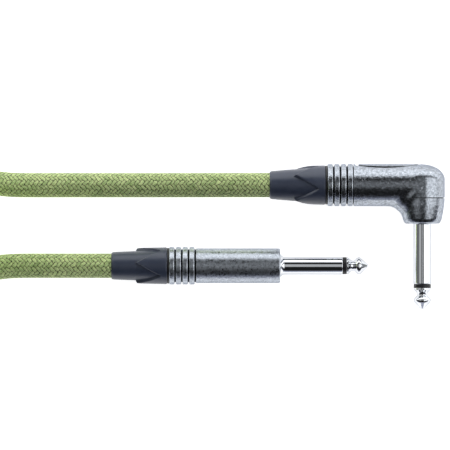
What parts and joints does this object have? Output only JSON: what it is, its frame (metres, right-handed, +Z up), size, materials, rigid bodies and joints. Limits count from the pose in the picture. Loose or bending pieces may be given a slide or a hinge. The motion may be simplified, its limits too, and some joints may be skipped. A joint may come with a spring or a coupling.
{
  "type": "instrument cable",
  "caption": "Braided instrument lead with a straight and a right-angled 6.35 mm phone plug, ribbed metal shells and screw-on cable boots; spare cable lies in a strapped hank.",
  "frame": {"origin": "middle of the box round the two plugs, on the table plane", "axes": "+X from the cable ends towards the straight plug's tip, +Y across the table from the straight plug to the angled plug's barrel, +Z up from the table"},
  "size_m": [0.3252, 0.0815, 0.0375],
  "materials": {
    "nickel_satin": "tumbled nickel plate, satin and lightly worn",
    "nickel_bright": "polished nickel plate",
    "boot_plastic": "slate grey moulded plastic, semi-matt",
    "black_plastic": "black moulded plastic",
    "white_plastic": "off-white moulded plastic",
    "cable_braid": null,
    "cable_jacket": "black soft jacket",
    "core_plastic": "natural insulation",
    "copper": "bare copper strand",
    "solder": "dull solder",
    "tie_fabric": "black hook-and-loop strap"
  },
  "bodies": {
    "plugs_and_cable": {"angled_body": "nickel_satin", "angled_braid_end": "cable_braid", "angled_code_ring": "black_plastic", "angled_core_insulation": "core_plastic", "angled_core_wire": "copper", "angled_ground_terminal": "nickel_bright", "angled_jacket_end": "cable_jacket", "angled_rear_cap": "nickel_satin", "angled_rear_insulator": "black_plastic", "angled_ring_insulator": "black_plastic", "angled_screen_pigtail": "copper", "angled_sleeve_contact": "nickel_bright", "angled_tip_contact": "nickel_bright", "angled_tip_solder": "solder", "angled_tip_terminal": "nickel_bright", "angled_tube_insulator": "white_plastic", "cable_hank": "cable_braid", "cable_run_angled": "cable_braid", "cable_run_straight": "cable_braid", "cable_tie_far": "tie_fabric", "cable_tie_near": "tie_fabric", "straight_braid_end": "cable_braid", "straight_code_ring": "black_plastic", "straight_core_insulation": "core_plastic", "straight_core_wire": "copper", "straight_ground_solder": "solder", "straight_ground_terminal": "nickel_bright", "straight_jacket_end": "cable_jacket", "straight_rear_insulator": "black_plastic", "straight_ring_insulator": "black_plastic", "straight_screen_pigtail": "copper", "straight_shell": "nickel_satin", "straight_sleeve_contact": "nickel_bright", "straight_tip_contact": "nickel_bright", "straight_tip_solder": "solder", "straight_tip_terminal": "nickel_bright", "straight_tube_insulator": "white_plastic"},
    "straight_chuck_body": {"straight_chuck": "white_plastic"},
    "straight_boot_body": {"straight_boot": "boot_plastic"},
    "angled_chuck_body": {"angled_chuck": "white_plastic"},
    "angled_boot_body": {"angled_boot": "boot_plastic"}
  },
  "joints": [
    {"name": "straight_boot_travel", "type": "slide", "parent": "plugs_and_cable", "child": "straight_chuck_body", "axis": [-1, 0, 0], "range_m": [0, 0.006]},
    {"name": "straight_boot_turn", "type": "hinge", "parent": "straight_chuck_body", "child": "straight_boot_body", "pos_m": [-0.04995, -0.01035, 0.00675], "axis": [-1, 0, 0], "range_deg": [0, 1440]},
    {"name": "angled_boot_travel", "type": "slide", "parent": "plugs_and_cable", "child": "angled_chuck_body", "axis": [-1, 0, 0], "range_m": [0, 0.006]},
    {"name": "angled_boot_turn", "type": "hinge", "parent": "angled_chuck_body", "child": "angled_boot_body", "pos_m": [0.00695, 0.01865, 0.0076], "axis": [-1, 0, 0], "range_deg": [0, 1440]}
  ],
  "couplings": [
    {"joint": "straight_boot_turn", "follows": "straight_boot_travel", "rad_per_m": 4188.8},
    {"joint": "angled_boot_turn", "follows": "angled_boot_travel", "rad_per_m": 4188.8}
  ]
}
